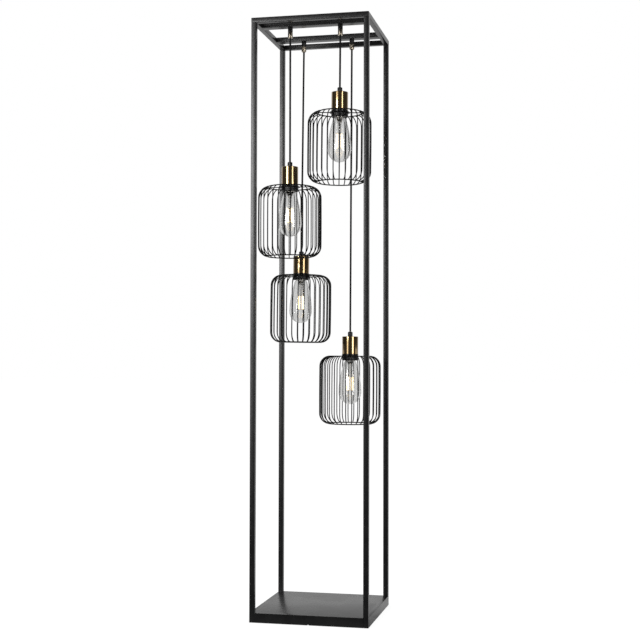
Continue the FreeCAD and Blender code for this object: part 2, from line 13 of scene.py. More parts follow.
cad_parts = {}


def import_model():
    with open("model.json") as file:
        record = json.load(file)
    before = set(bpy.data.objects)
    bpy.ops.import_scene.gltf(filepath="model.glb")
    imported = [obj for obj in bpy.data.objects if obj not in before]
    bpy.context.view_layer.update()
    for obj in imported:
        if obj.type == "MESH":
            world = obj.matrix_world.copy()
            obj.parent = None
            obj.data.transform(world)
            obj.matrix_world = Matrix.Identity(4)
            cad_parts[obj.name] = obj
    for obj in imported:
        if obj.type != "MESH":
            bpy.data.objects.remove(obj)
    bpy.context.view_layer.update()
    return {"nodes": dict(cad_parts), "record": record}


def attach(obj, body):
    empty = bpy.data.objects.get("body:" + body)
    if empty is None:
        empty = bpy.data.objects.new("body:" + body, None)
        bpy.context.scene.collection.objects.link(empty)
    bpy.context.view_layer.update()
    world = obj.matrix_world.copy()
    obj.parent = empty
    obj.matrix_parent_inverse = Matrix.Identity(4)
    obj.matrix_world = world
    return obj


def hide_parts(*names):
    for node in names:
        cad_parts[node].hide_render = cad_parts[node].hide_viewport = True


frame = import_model()
MM = 0.001

# Frame, in metres
HEIGHT = 1510 * MM
HALF = 150 * MM
TUBE = 13 * MM
TUBE_ROUND = 1.1 * MM
TUBE_WALL = 1.2 * MM
TUBE_OPEN_DEPTH = 18 * MM
CROSSBAR_WIDTH = 25 * MM
CROSSBAR_Y = {"front": -85 * MM, "rear": 65 * MM}
WELD_SEAM = 0.15 * MM
FLOOR_GAP = 1 * MM
INLET_HEIGHT = 13 * MM
SCREW_PLACE = 129 * MM

# Cover screws, in millimetres, with heights from the floor
SCREW_HEAD_LOW = 0.3
SCREW_HEAD_TOP = 2.0
SCREW_HEAD_RADIUS = 4.0
SCREW_CROWN_RADIUS = 2.9
SCREW_CROWN_HEIGHT = 0.9
SCREW_RADIUS = 2.0
SCREW_TIP_RADIUS = 1.2
SCREW_TIP_LENGTH = 1
SCREW_END = 13.0
RECESS_RADIUS = 1.1
RECESS_FLOOR_RADIUS = 0.7
RECESS_DEPTH = 1.1
RECESS_ARM = 1.2

# Lead grommet, in millimetres, with depths from the outside of the back skirt
GROMMET_BORE = 3.7
GROMMET_NECK = 5.5
GROMMET_LIP = 7.5
GROMMET_RIM = 7.0
GROMMET_INNER_END = -5.5
GROMMET_OUTER_END = 1.5
SKIRT_SHEET = 1.5

# Cord, in metres
CORD_DIAMETER = 5 * MM
CORD_CLEARANCE = 0.5 * MM
CORD_CAP_GAP = 0.3 * MM

# Cord grip and its nut, in millimetres, with heights from the nut's nose
CORD_HOLE_RADIUS = 2.9
NUT_RADIUS = 6.25
NUT_LENGTH = 15.2
NUT_NOSE_RADIUS = 5.0
NUT_NOSE_HEIGHT = 1.6
NUT_BORE_RADIUS = 4.6
NUT_BORE_BOTTOM = 7.2
GRIP_GAP = 0.3
GRIP_HEIGHT = 12
GRIP_STEM_RADIUS = 4.15
GRIP_STEM_LENGTH = 8

# Cover, cap, lampholder and shade ring, in millimetres, with heights from the top of the shade
COVER_RADIUS = 21.0
COVER_INNER_RADIUS = 20.1
COVER_HOLE_RADIUS = 5.1
COVER_SHEET_THICKNESS = 0.9
COVER_BOTTOM = 4.5
COVER_TOP = 50.5
CAP_RADIUS = 6.25
CAP_TOP_RADIUS = 4.4
CAP_SLOPE_HEIGHT = 1.5
CAP_SOCKET_DEPTH = 2.0
CAP_STEM_RADIUS = 4.7
CAP_STEM_BOTTOM = 40.5
CAP_TOP = 63.0
FLANGE_RADIUS = 21.5
SKIRT_RADIUS = 19.5
SKIRT_DEPTH = 11.0
HOLDER_RADIUS = 17.5
HOLDER_TOP = 40.4
HOLDER_BORE_RADIUS = 14.0
HOLDER_BORE_TOP = 15.5
SHADE_RING_RADIUS = 21.5
SHADE_RING_TOP_RADIUS = 21.0
SHADE_RING_FOOT_RADIUS = 20.9
SHADE_RING_FOOT_HEIGHT = 2
SHADE_RING_TOP_HEIGHT = 1
SHADE_RING_BORE = 19.8
SHADE_RING_BOTTOM = -12.5
RIB_COUNT = 24
RIB_DEPTH = 0.45
RIB_FOOT_MARGIN = 1.2
RIB_TOP_MARGIN = 0.8

# Shade, in millimetres. Its radius is the wires' middle line
SHADE_RADIUS = 79.3
SHADE_BARREL = 0.3
SHADE_HEIGHT = 178.5
BEND = 27.05
BEND_STEPS = 9
STRAIGHT_STEPS = 8
WIRE = 2.6
WIRE_COUNT = 32
WIRE_INTO_RING = 0.6 * WIRE
END_RING_RADIUS = 56.5
END_RING_WIRE = 3.0
END_RING_STEPS = 96
HUB_RADIUS = 26.0
HUB_BORE = 19.8
HUB_THICKNESS = 2.0
SPOKE_COUNT = 4
SPOKE_HALF_WIDTH = 1.75
SPOKE_INTO_HUB = 0.5
SPOKE_INTO_RING = 0.6
SPOKE_ROUND = 0.35

# Bulb, in millimetres, with heights from the top of the shade. The shoulder and the flare are pairs of a
# radius and a depth under the rim, and the pinch is pairs of a radius and a height over the filaments
BULB_RIM = -13.4
BULB_CAP_RADIUS = 13.0
BULB_THREAD_TOP = 8.0
BULB_CONTACT_RADIUS = 5.0
BULB_CONTACT_LOW = 13.5
BULB_TOP = 15.0
NECK_RADIUS = 17.0
NECK_BOTTOM = -18.0
GLASS_SWELL = 12.7
GLASS_WIDEST = -95.0
GLASS_END = -126.5
GLASS_WALL = 0.7
GLASS_STEPS = 14
GLASS_SHOULDER = ((12.9, 0), (14.0, 1.6), (16.4, 3.6))
STEM_FLARE = ((0, 0), (10.0, 0), (7.0, 6), (4.6, 14))
STEM_PINCH = ((3.4, 9), (3.8, 4), (1.2, 1.5), (0, 1))
FILAMENT_TOP = -56.0
FILAMENT_FOOT = -90.0
FILAMENT_CIRCLE = 8.2
FILAMENT_RADIUS = 1.7
FILAMENT_TURN = 42.0
FILAMENT_COUNT = 4
ARM_RADIUS = 0.25
ARM_START = 0.3
ARM_HOOK = 0.4
ARM_ABOVE_TOP = 1.5
ARM_BELOW_FOOT = 1
ROD_RADIUS = 0.5
ROD_ABOVE_TOP = 2
ROD_BELOW_FOOT = 1.4

# Turn of each shade's wires, in degrees
PENDANT_TURN = {"upper_right": 12.0, "upper_left": 4.0, "lower_left": 8.5, "lower_right": 3.5}

# Texture values between which a noise is spread out, and positions between which it changes colour
NOISE_LOW = 0.3
NOISE_HIGH = 0.7
TINT_LOW = 0.35
TINT_HIGH = 0.65

# Camera, from the frame's corners in the photograph, with its angles in degrees
CAMERA_PLACE = (0.702, -3.157, 0.657)
CAMERA_YAW = 12.625
CAMERA_PITCH = 1.72
CAMERA_ROLL = 0.118
CAMERA_LENS = 70.415
CAMERA_REACH = 100
SENSOR_WIDTH = 36.0

# Studio, in metres and degrees
WORLD_LIGHT = 0.5
FRONT_GLOSS = 0.06
BACK_GLOSS = 0.68
DARK_CENTRE = 12.0
DARK_HALF_ANGLE = 125.0
DARK_EDGE = 8.0
FLOOR_REACH = 30
FLOOR_GLOW = 0.86
FLOOR_SHADOW = 0.3
FLOOR_BOUNCE = 0.5
FLOOR_DARK_FROM = -0.25
FLOOR_WHITE_FROM = 0.15

# Each soft box: its bearing from straight in front, distance, lower and upper edge, width and brightness
SOFT_BOXES = {
    "left_box": (-25, 2.6, 0.3, 2.35, 1.2, 0.8),
    "left_core": (-24.5, 2.59, 0.98, 1.85, 0.8, 9.0),
    "left_strip": (-27, 2.58, 0.3, 2.3, 0.36, 2.6),
    "right_box": (52, 2.6, 0.3, 2.4, 0.9, 1.4),
    "right_core": (51, 2.59, 0.4, 2.15, 0.8, 3.6),
}


def joint(name):
    """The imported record's joint of that name."""
    return next(j for j in frame["record"]["behaviour"]["joints"] if j["name"] == name)


# Materials


def material(name, colour, roughness, metallic=0.0):
    """A new material: its node tree's nodes, links and Principled shader."""
    made = bpy.data.materials.new(name)
    made.use_nodes = True
    nodes = made.node_tree.nodes
    shader = nodes["Principled BSDF"]
    shader.inputs["Base Color"].default_value = (*colour, 1)
    shader.inputs["Roughness"].default_value = roughness
    shader.inputs["Metallic"].default_value = metallic
    return made, nodes, made.node_tree.links, shader


def noise(nodes, links, scale, detail=3.0, stretch=(1, 1, 1)):
    """A noise texture on object coordinates, stretched along the axes."""
    place = nodes.new("ShaderNodeTexCoord")
    mapping = nodes.new("ShaderNodeMapping")
    mapping.inputs["Scale"].default_value = stretch
    texture = nodes.new("ShaderNodeTexNoise")
    texture.inputs["Scale"].default_value = scale
    texture.inputs["Detail"].default_value = detail
    links.new(place.outputs["Object"], mapping.inputs["Vector"])
    links.new(mapping.outputs["Vector"], texture.inputs["Vector"])
    return texture.outputs["Fac"]


def spread(nodes, links, source, low, high):
    """Map a texture's middle range to a range of values."""
    remap = nodes.new("ShaderNodeMapRange")
    remap.inputs["From Min"].default_value = NOISE_LOW
    remap.inputs["From Max"].default_value = NOISE_HIGH
    remap.inputs["To Min"].default_value = low
    remap.inputs["To Max"].default_value = high
    links.new(source, remap.inputs["Value"])
    return remap.outputs["Result"]


def tint(nodes, links, source, dark, light):
    """A colour between two, by a texture."""
    ramp = nodes.new("ShaderNodeValToRGB")
    ramp.color_ramp.elements[0].color = (*dark, 1)
    ramp.color_ramp.elements[0].position = TINT_LOW
    ramp.color_ramp.elements[1].color = (*light, 1)
    ramp.color_ramp.elements[1].position = TINT_HIGH
    links.new(source, ramp.inputs["Fac"])
    return ramp.outputs["Color"]


def bump(nodes, links, source, shader, distance, strength=1.0):
    """Raise a surface by a texture, up to a distance in metres."""
    node = nodes.new("ShaderNodeBump")
    node.inputs["Strength"].default_value = strength
    node.inputs["Distance"].default_value = distance
    links.new(source, node.inputs["Height"])
    links.new(node.outputs["Normal"], shader.inputs["Normal"])


def powder_coat(name, dark, light, roughness, gloss=0.5):
    """Black powder coat: a fine orange peel, a little mottling and an uneven sheen."""
    made, nodes, links, shader = material(name, light, roughness)
    shader.inputs["Specular IOR Level"].default_value = gloss
    mottle = noise(nodes, links, scale=35.0, detail=4.0)
    links.new(tint(nodes, links, mottle, dark, light), shader.inputs["Base Color"])
    patches = noise(nodes, links, scale=14.0, detail=2.0)
    links.new(spread(nodes, links, patches, roughness - 0.02, roughness + 0.03), shader.inputs["Roughness"])
    peel = noise(nodes, links, scale=1100.0, detail=2.0)
    bump(nodes, links, peel, shader, distance=0.004 * MM)
    return made


def plastic(name, colour, roughness):
    """Moulded plastic with a fine, slightly uneven grain."""
    made, nodes, links, shader = material(name, colour, roughness)
    shader.inputs["Specular IOR Level"].default_value = 0.35
    grain = noise(nodes, links, scale=700.0, detail=2.0)
    links.new(spread(nodes, links, grain, roughness - 0.04, roughness + 0.05), shader.inputs["Roughness"])
    bump(nodes, links, grain, shader, distance=0.03 * MM)
    return made


def brushed_metal(name, dark, light):
    """Lacquered metal, brushed along its length, with a darker patina in patches."""
    made, nodes, links, shader = material(name, light, roughness=0.13, metallic=1.0)
    shader.inputs["Coat Weight"].default_value = 0.8
    shader.inputs["Coat Roughness"].default_value = 0.06
    patina = noise(nodes, links, scale=90.0, stretch=(1, 1, 0.12))
    links.new(tint(nodes, links, patina, dark, light), shader.inputs["Base Color"])
    lines = noise(nodes, links, scale=900.0, detail=2.0, stretch=(1, 1, 0.02))
    links.new(spread(nodes, links, lines, 0.1, 0.16), shader.inputs["Roughness"])
    bump(nodes, links, lines, shader, distance=0.002 * MM, strength=0.5)
    return made


def woven_cord(name):
    """A black braided sleeve: two crossing sets of fine diagonal ribs, with painted shade in the grooves
    between them.
    """
    dark = (0.003, 0.003, 0.003)
    light = (0.012, 0.012, 0.012)
    made, nodes, links, shader = material(name, light, roughness=0.7)
    shader.inputs["Specular IOR Level"].default_value = 0.2
    place = nodes.new("ShaderNodeTexCoord")
    heights = []
    for lean in (1, -1):
        mapping = nodes.new("ShaderNodeMapping")
        mapping.inputs["Rotation"].default_value = (0, math.radians(45 * lean), 0)
        wave = nodes.new("ShaderNodeTexWave")
        wave.bands_direction = "Z"
        wave.inputs["Scale"].default_value = 330.0
        links.new(place.outputs["Object"], mapping.inputs["Vector"])
        links.new(mapping.outputs["Vector"], wave.inputs["Vector"])
        heights.append(wave.outputs["Fac"])
    crossing = nodes.new("ShaderNodeMath")
    crossing.operation = "MAXIMUM"
    links.new(heights[0], crossing.inputs[0])
    links.new(heights[1], crossing.inputs[1])
    ribs = crossing.outputs[0]
    # The grooves between the ribs are coloured darker than the crests: painted shade.
    links.new(tint(nodes, links, ribs, dark, light), shader.inputs["Base Color"])
    bump(nodes, links, ribs, shader, distance=0.25 * MM)
    return made


def metal(name, colour, roughness):
    """Bare or plated metal with a fine grain across its height."""
    made, nodes, links, shader = material(name, colour, roughness, metallic=1.0)
    grain = noise(nodes, links, scale=400.0, stretch=(1, 1, 6))
    links.new(spread(nodes, links, grain, roughness - 0.06, roughness + 0.08), shader.inputs["Roughness"])
    bump(nodes, links, grain, shader, distance=0.02 * MM)
    return made


def foam(name):
    """Black foam with fine open cells, with painted shade in the cells' pits."""
    dark = (0.01, 0.01, 0.01)
    light = (0.035, 0.035, 0.035)
    made, nodes, links, shader = material(name, (0.02, 0.02, 0.02), roughness=0.9)
    cells = noise(nodes, links, scale=900.0, detail=4.0)
    # The pits of the cells are coloured darker than their rims: painted shade.
    links.new(tint(nodes, links, cells, dark, light), shader.inputs["Base Color"])
    bump(nodes, links, cells, shader, distance=0.3 * MM)
    return made


def clear_glass(name, colour):
    """Bulb glass: sharp reflections, a faint tint and slightly uneven refraction."""
    made, nodes, links, shader = material(name, colour, roughness=0.0)
    shader.inputs["Transmission Weight"].default_value = 1.0
    shader.inputs["IOR"].default_value = 1.5
    waves = noise(nodes, links, scale=45.0, detail=1.0)
    links.new(spread(nodes, links, waves, 0.0, 0.02), shader.inputs["Roughness"])
    bump(nodes, links, waves, shader, distance=0.02 * MM)
    path = nodes.new("ShaderNodeLightPath")
    clear = nodes.new("ShaderNodeBsdfTransparent")
    clear.inputs["Color"].default_value = (0.9, 0.9, 0.9, 1)
    mix = nodes.new("ShaderNodeMixShader")
    links.new(path.outputs["Is Shadow Ray"], mix.inputs["Fac"])
    links.new(shader.outputs[0], mix.inputs[1])
    links.new(clear.outputs[0], mix.inputs[2])
    links.new(mix.outputs[0], nodes["Material Output"].inputs["Surface"])
    return made


def glowing(name, colour, strength):
    """The lit coating of a filament, a little uneven along its length."""
    made, nodes, links, shader = material(name, (0.9, 0.65, 0.25), roughness=0.5)
    shader.inputs["Emission Color"].default_value = (*colour, 1)
    chips = noise(nodes, links, scale=500.0, detail=1.0)
    uneven = spread(nodes, links, chips, 0.85 * strength, 1.15 * strength)
    links.new(uneven, shader.inputs["Emission Strength"])
    return made


FRAME_BLACK = powder_coat("frame_powder_coat", (0.005, 0.005, 0.0052), (0.009, 0.009, 0.0092), 0.27)
SHADE_BLACK = powder_coat("shade_powder_coat", (0.003, 0.003, 0.003), (0.006, 0.006, 0.006), 0.3, gloss=0.1)
COVER_SHEET = powder_coat("cover_sheet", (0.01, 0.01, 0.01), (0.016, 0.016, 0.016), 0.5)
BRASS = brushed_metal("antique_brass", (0.4, 0.275, 0.125), (0.48, 0.335, 0.165))
NUT_METAL = brushed_metal("dull_brass", (0.5, 0.43, 0.33), (0.6, 0.52, 0.41))
BLACK_PLASTIC = plastic("black_plastic", (0.006, 0.006, 0.006), 0.15)
PALE_PLASTIC = plastic("terminal_plastic", (0.75, 0.74, 0.7), 0.45)
WIRE_SHEATH = plastic("wire_sheath", (0.03, 0.03, 0.03), 0.5)
CORD_BLACK = woven_cord("cord_black")
ZINC = metal("zinc_plate", (0.6, 0.6, 0.62), 0.32)
RAW_STEEL = metal("raw_steel", (0.33, 0.33, 0.34), 0.45)
CAP_METAL = metal("nickel_cap", (0.66, 0.63, 0.57), 0.25)
FOAM = foam("floor_foam")
GLASS = clear_glass("bulb_glass", (0.99, 0.99, 0.985))
STEM_GLASS = clear_glass("stem_glass", (0.75, 0.74, 0.72))
FILAMENT = glowing("lit_filament", (1.0, 0.8, 0.5), 2.4)


# Mesh helpers


def finish_piece(name, mesh, material_used, body, nodes, smooth=35.0, place=None):
    """Turn a bmesh into a piece that rides on a body and stands for CAD nodes."""
    if place:
        mesh.transform(place)
    data = bpy.data.meshes.new(name)
    mesh.to_mesh(data)
    mesh.free()
    data.materials.append(material_used)
    piece = bpy.data.objects.new(name, data)
    bpy.context.scene.collection.objects.link(piece)
    for face in data.polygons:
        face.use_smooth = True
    data.set_sharp_from_angle(angle=math.radians(smooth))
    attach(piece, body)
    if nodes:
        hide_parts(*nodes)


def rounded(profile, radius, steps=4):
    """A closed (radius, height) profile with its corners rounded, apart from those on the axis."""
    out = []
    count = len(profile)
    for k, (r, z) in enumerate(profile):
        corner = Vector((r, z))
        before = Vector(profile[k - 1]) - corner
        after = Vector(profile[(k + 1) % count]) - corner
        if r == 0 or before.length == 0 or after.length == 0:
            out.append(corner)
            continue
        reach = min(radius, before.length * 0.45, after.length * 0.45)
        start = corner + before.normalized() * reach
        end = corner + after.normalized() * reach
        for i in range(steps + 1):
            t = i / steps
            out.append(start * (1 - t) ** 2 + corner * 2 * t * (1 - t) + end * t ** 2)
    return [(max(p.x, 0), p.y) for p in out]


def lathe(mesh, profile, sides=64, wobble=None):
    """Turn a closed profile in millimetres round Z. wobble gives a radius change by angle and height."""
    rings = []
    for r, z in profile:
        if r < 1e-6:
            rings.append([mesh.verts.new((0, 0, z * MM))] * sides)
            continue
        ring = []
        for k in range(sides):
            a = 2 * math.pi * k / sides
            reach = r + (wobble(a, r, z) if wobble else 0)
            ring.append(mesh.verts.new((reach * MM * math.cos(a), reach * MM * math.sin(a), z * MM)))
        rings.append(ring)
    for low, high in zip(rings, rings[1:] + rings[:1]):
        for k in range(sides):
            corners = [low[k], low[(k + 1) % sides], high[(k + 1) % sides], high[k]]
            unique = []
            for v in corners:
                if v not in unique:
                    unique.append(v)
            if len(unique) > 2:
                mesh.faces.new(unique)
    bmesh.ops.recalc_face_normals(mesh, faces=mesh.faces)


def turned(profile, round_by, sides=64, steps=4, wobble=None):
    """A new mesh, turned from a profile in millimetres with rounded corners."""
    mesh = bmesh.new()
    lathe(mesh, rounded(profile, round_by, steps), sides, wobble)
    return mesh


def tube(mesh, points, radius, sides=10, closed=False):
    """A round tube along points in millimetres, in a plane through the Z axis or in a ring round it."""
    rings = []
    count = len(points)
    for k, p in enumerate(points):
        before = points[k - 1] if closed or k else p
        after = points[(k + 1) % count] if closed or k < count - 1 else p
        along = (after - before).normalized()
        side = Vector((-p.y, p.x, 0)).normalized()
        if abs(side.dot(along)) > 0.5:
            side = Vector((p.x, p.y, 0)).normalized()
        up = along.cross(side)
        ring = []
        for i in range(sides):
            a = 2 * math.pi * i / sides
            ring.append(mesh.verts.new((p + (side * math.cos(a) + up * math.sin(a)) * radius) * MM))
        rings.append(ring)
    pairs = list(zip(rings, rings[1:]))
    if closed:
        pairs.append((rings[-1], rings[0]))
    for low, high in pairs:
        for i in range(sides):
            mesh.faces.new((low[i], low[(i + 1) % sides], high[(i + 1) % sides], high[i]))
    if not closed:
        mesh.faces.new(rings[0])
        mesh.faces.new(rings[-1])


def join(mesh, other, place):
    """Add another bmesh, moved to its place, and free it."""
    other.transform(place)
    data = bpy.data.meshes.new("joined")
    other.to_mesh(data)
    other.free()
    mesh.from_mesh(data)
    bpy.data.meshes.remove(data)


def bar(mesh, low, high, round_by):
    """A block between two corners with every edge rounded."""
    made = bmesh.ops.create_cube(mesh, size=1.0)["verts"]
    low = Vector(low)
    high = Vector(high)
    for v in made:
        v.co = Vector(low[i] + (high[i] - low[i]) * (v.co[i] + 0.5) for i in range(3))
    edges = {e for v in made for e in v.link_edges}
    bmesh.ops.bevel(mesh, geom=list(edges), offset=round_by, segments=2, profile=0.5, affect="EDGES")


# Frame


def rounded_section(half_wide, half_high, radius):
    """A rectangle's corner points with rounded corners, counted round from its lower left."""
    section = []
    steps = 4
    for k, (a, b) in enumerate([(-1, -1), (1, -1), (1, 1), (-1, 1)]):
        middle = Vector((a * (half_wide - radius), b * (half_high - radius)))
        for i in range(steps + 1):
            angle = math.radians(-180 + 90 * k + 90 * i / steps)
            section.append(middle + Vector((math.cos(angle), math.sin(angle))) * radius)
    return section


def skin(mesh, rings):
    """Faces between rings of points in metres, with the first and last ring closed."""
    made = [[mesh.verts.new(p) for p in ring] for ring in rings]
    count = len(rings[0])
    for low, high in zip(made, made[1:]):
        for k in range(count):
            mesh.faces.new((low[k], low[(k + 1) % count], high[(k + 1) % count], high[k]))
    mesh.faces.new(made[0])
    mesh.faces.new(made[-1])
    bmesh.ops.recalc_face_normals(mesh, faces=mesh.faces)


def frame_tube(node, mesh):
    """Finish a powder-coated tube of the frame."""
    finish_piece("dressed_" + node, mesh, FRAME_BLACK, "frame", [node])


def post(x, y):
    """An upright tube with its lower end open and a fine seam under the top frame."""
    half = TUBE / 2
    outer = rounded_section(half, half, TUBE_ROUND)
    seam = rounded_section(half - WELD_SEAM, half - WELD_SEAM, TUBE_ROUND)
    inner = rounded_section(half - TUBE_WALL, half - TUBE_WALL, TUBE_ROUND / 2)
    top = HEIGHT - TUBE
    levels = [
        (inner, FLOOR_GAP + TUBE_OPEN_DEPTH),
        (inner, FLOOR_GAP),
        (seam, FLOOR_GAP),
        (outer, FLOOR_GAP + WELD_SEAM),
        (outer, top - WELD_SEAM),
        (seam, top),
    ]
    mesh = bmesh.new()
    skin(mesh, [[Vector((x + p.x, y + p.y, z)) for p in section] for section, z in levels])
    return mesh


def posts():
    """The four posts."""
    middle = HALF - TUBE / 2
    for x_name, x in (("left", -middle), ("right", middle)):
        for y_name, y in (("front", -middle), ("rear", middle)):
            frame_tube("post_" + y_name + "_" + x_name, post(x, y))


def rails():
    """Four top tubes, drawn between 45 degree mitres with a fine seam at each."""
    half = TUBE / 2
    outer = rounded_section(half, half, TUBE_ROUND)
    seam = rounded_section(half - WELD_SEAM, half - WELD_SEAM, TUBE_ROUND)
    stations = ((-1, seam, 0), (-1, outer, WELD_SEAM), (1, outer, WELD_SEAM), (1, seam, 0))
    for name, side in (("front", 0), ("right", 90), ("rear", 180), ("left", 270)):
        turn = Matrix.Rotation(math.radians(side), 4, "Z")
        rings = []
        for end, section, back in stations:
            ring = []
            for p in section:
                y = -HALF + half + p.x
                ring.append(turn @ Vector((end * (-y - back), y, HEIGHT - half + p.y)))
            rings.append(ring)
        mesh = bmesh.new()
        skin(mesh, rings)
        frame_tube("top_rail_" + name, mesh)


def crossbars():
    """The two flat tubes that carry the pendants."""
    wide = CROSSBAR_WIDTH / 2
    high = TUBE / 2
    outer = rounded_section(wide, high, TUBE_ROUND)
    seam = rounded_section(wide - WELD_SEAM, high - WELD_SEAM, TUBE_ROUND)
    end = HALF - TUBE
    levels = [(seam, -end), (outer, WELD_SEAM - end), (outer, end - WELD_SEAM), (seam, end)]
    for name, y in CROSSBAR_Y.items():
        rings = []
        for section, x in levels:
            rings.append([Vector((x, y + p.x, HEIGHT - high + p.y)) for p in section])
        mesh = bmesh.new()
        skin(mesh, rings)
        frame_tube("crossbar_" + name, mesh)


def softened(node, round_by, used):
    """A folded or cut piece: its CAD form with every sharp edge rounded over."""
    flat = math.radians(1)
    sharp = math.radians(30)
    mesh = bmesh.new()
    mesh.from_mesh(frame["nodes"][node].data)
    bmesh.ops.remove_doubles(mesh, verts=mesh.verts, dist=0.001 * MM)
    bmesh.ops.dissolve_limit(mesh, angle_limit=flat, verts=mesh.verts, edges=mesh.edges)
    edges = [e for e in mesh.edges if len(e.link_faces) == 2 and e.calc_face_angle() > sharp]
    bmesh.ops.bevel(mesh, geom=edges, offset=round_by, segments=2, profile=0.5, affect="EDGES",
                    clamp_overlap=True)
    finish_piece("dressed_" + node, mesh, used, "frame", [node], smooth=25)


def cover_screws():
    """Pan head screws under the base, each with a cross recess."""
    recess_floor = SCREW_HEAD_LOW + RECESS_DEPTH
    profile = [
        (0, recess_floor),
        (RECESS_FLOOR_RADIUS, recess_floor),
        (RECESS_RADIUS, SCREW_HEAD_LOW),
        (SCREW_CROWN_RADIUS, SCREW_HEAD_LOW),
        (SCREW_HEAD_RADIUS, SCREW_HEAD_LOW + SCREW_CROWN_HEIGHT),
        (SCREW_HEAD_RADIUS, SCREW_HEAD_TOP),
        (SCREW_RADIUS, SCREW_HEAD_TOP),
        (SCREW_RADIUS, SCREW_END - SCREW_TIP_LENGTH),
        (SCREW_TIP_RADIUS, SCREW_END),
        (0, SCREW_END),
    ]

    def cross(angle, r, z):
        inside = r < RECESS_ARM and z < SCREW_HEAD_TOP
        return RECESS_ARM * math.cos(2 * angle) ** 8 if inside else 0

    mesh = bmesh.new()
    for sx in (-1, 1):
        for sy in (-1, 1):
            one = bmesh.new()
            lathe(one, profile, wobble=cross)
            join(mesh, one, Matrix.Translation((sx * SCREW_PLACE, sy * SCREW_PLACE, 0)))
    finish_piece("dressed_cover_screws", mesh, ZINC, "frame", ["cover_screws"])


def lead_grommet():
    """The moulded bush in the back skirt."""
    profile = [
        (GROMMET_BORE, GROMMET_INNER_END),
        (GROMMET_LIP, GROMMET_INNER_END),
        (GROMMET_LIP, -SKIRT_SHEET),
        (GROMMET_NECK, -SKIRT_SHEET),
        (GROMMET_NECK, 0),
        (GROMMET_LIP, 0),
        (GROMMET_RIM, GROMMET_OUTER_END),
        (GROMMET_BORE, GROMMET_OUTER_END),
    ]
    back = Matrix.Translation((0, HALF, INLET_HEIGHT)) @ Matrix.Rotation(math.radians(-90), 4, "X")
    mesh = turned(profile, round_by=0.6)
    finish_piece("dressed_lead_grommet", mesh, BLACK_PLASTIC, "frame", ["lead_grommet"],
                 place=back)


# Three nodes keep their CAD shape and get a better material
for name, used in (
    ("inlet_terminal", PALE_PLASTIC),
    ("crossbar_terminals", PALE_PLASTIC),
    ("inner_wiring", WIRE_SHEATH),
):
    frame["nodes"][name].data.materials.clear()
    frame["nodes"][name].data.materials.append(used)

posts()
rails()
crossbars()
softened("base_tray", 0.5 * MM, FRAME_BLACK)
softened("bottom_cover", 0.25 * MM, COVER_SHEET)
softened("ballast_plate", 0.6 * MM, RAW_STEEL)
softened("floor_pad", 0.5 * MM, FOAM)
cover_screws()
lead_grommet()


# Pendants


def pendant_piece(kind, name, mesh, used, place):
    """Finish a piece of a pendant that stands for the CAD node of its own kind."""
    finish_piece("dressed_" + kind + "_" + name, mesh, used, "pendant_" + name, [kind + "_" + name],
                 place=place)


def bend_path():
    """A shade wire's line in millimetres: bend, faintly bowed straight, bend."""
    centre_x = SHADE_RADIUS - BEND
    end_angle = math.acos((END_RING_RADIUS + WIRE / 2 - centre_x) / BEND)
    centre_z = -WIRE / 2 - BEND * math.sin(end_angle)
    top = []
    for k in range(BEND_STEPS + 1):
        a = end_angle * (1 - k / BEND_STEPS)
        top.append(Vector((centre_x + BEND * math.cos(a), 0, centre_z + BEND * math.sin(a))))
    start = top[-1].z
    straight = -SHADE_HEIGHT - 2 * start
    middle = []
    for k in range(1, STRAIGHT_STEPS):
        t = k / STRAIGHT_STEPS
        bow = SHADE_BARREL * math.sin(math.pi * t)
        middle.append(Vector((SHADE_RADIUS + bow, 0, start + straight * t)))
    bottom = [Vector((p.x, 0, -SHADE_HEIGHT - p.z)) for p in reversed(top)]
    path = top + middle + bottom
    path[0].x -= WIRE_INTO_RING
    path[-1].x -= WIRE_INTO_RING
    return path


def shade_wires(name, place):
    """The upright wires, with their ends reaching into the end rings."""
    mesh = bmesh.new()
    path = bend_path()
    for k in range(WIRE_COUNT):
        turn = Matrix.Rotation(2 * math.pi * k / WIRE_COUNT, 3, "Z")
        tube(mesh, [turn @ p for p in path], WIRE / 2)
    bmesh.ops.recalc_face_normals(mesh, faces=mesh.faces)
    pendant_piece("shade_wires", name, mesh, SHADE_BLACK, place)


def shade_rings(name, place):
    """The two end rings, with the hub and its spokes in the upper one."""
    mesh = bmesh.new()
    for z in (-WIRE / 2, WIRE / 2 - SHADE_HEIGHT):
        angles = [2 * math.pi * k / END_RING_STEPS for k in range(END_RING_STEPS)]
        line = [Vector((END_RING_RADIUS * math.cos(a), END_RING_RADIUS * math.sin(a), z)) for a in angles]
        tube(mesh, line, END_RING_WIRE / 2, closed=True)
    hub = [(HUB_BORE, -HUB_THICKNESS), (HUB_RADIUS, -HUB_THICKNESS), (HUB_RADIUS, 0), (HUB_BORE, 0)]
    lathe(mesh, rounded(hub, radius=0.4))
    low = ((HUB_RADIUS - SPOKE_INTO_HUB) * MM, -SPOKE_HALF_WIDTH * MM, -HUB_THICKNESS * MM)
    high = ((END_RING_RADIUS - SPOKE_INTO_RING) * MM, SPOKE_HALF_WIDTH * MM, 0)
    for k in range(SPOKE_COUNT):
        spoke = bmesh.new()
        bar(spoke, low, high, SPOKE_ROUND * MM)
        join(mesh, spoke, Matrix.Rotation(2 * math.pi * k / SPOKE_COUNT, 4, "Z"))
    bmesh.ops.recalc_face_normals(mesh, faces=mesh.faces)
    finish_piece("dressed_shade_rings_" + name, mesh, SHADE_BLACK, "pendant_" + name,
                 ["shade_end_rings_" + name], place=place)


